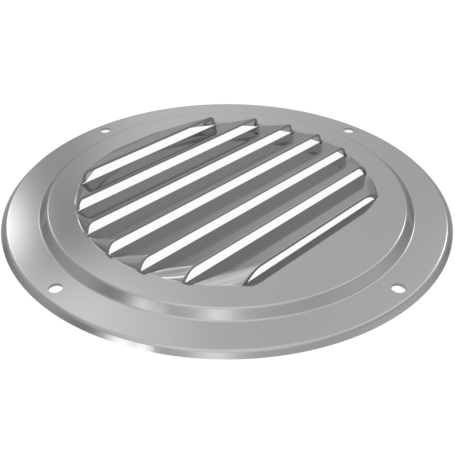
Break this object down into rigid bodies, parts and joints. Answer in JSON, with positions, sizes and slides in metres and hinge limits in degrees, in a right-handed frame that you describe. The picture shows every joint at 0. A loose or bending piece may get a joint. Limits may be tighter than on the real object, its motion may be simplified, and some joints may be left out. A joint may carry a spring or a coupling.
{
  "type": "louvred vent",
  "caption": "Round pressed-metal vent cover with raised louvres, a stepped flange and screw holes on one bolt circle.",
  "frame": {"origin": "centre of the rim, on the surface the vent is fixed to", "axes": "+Z out of the vent's face, +X along the louvres, the openings under the louvres face -Y"},
  "size_m": [0.125, 0.125, 0.0063],
  "materials": {
    "steel": "bright rolled stainless sheet"
  },
  "bodies": {
    "root": {"louvred_plate": "steel"}
  },
  "joints": []
}
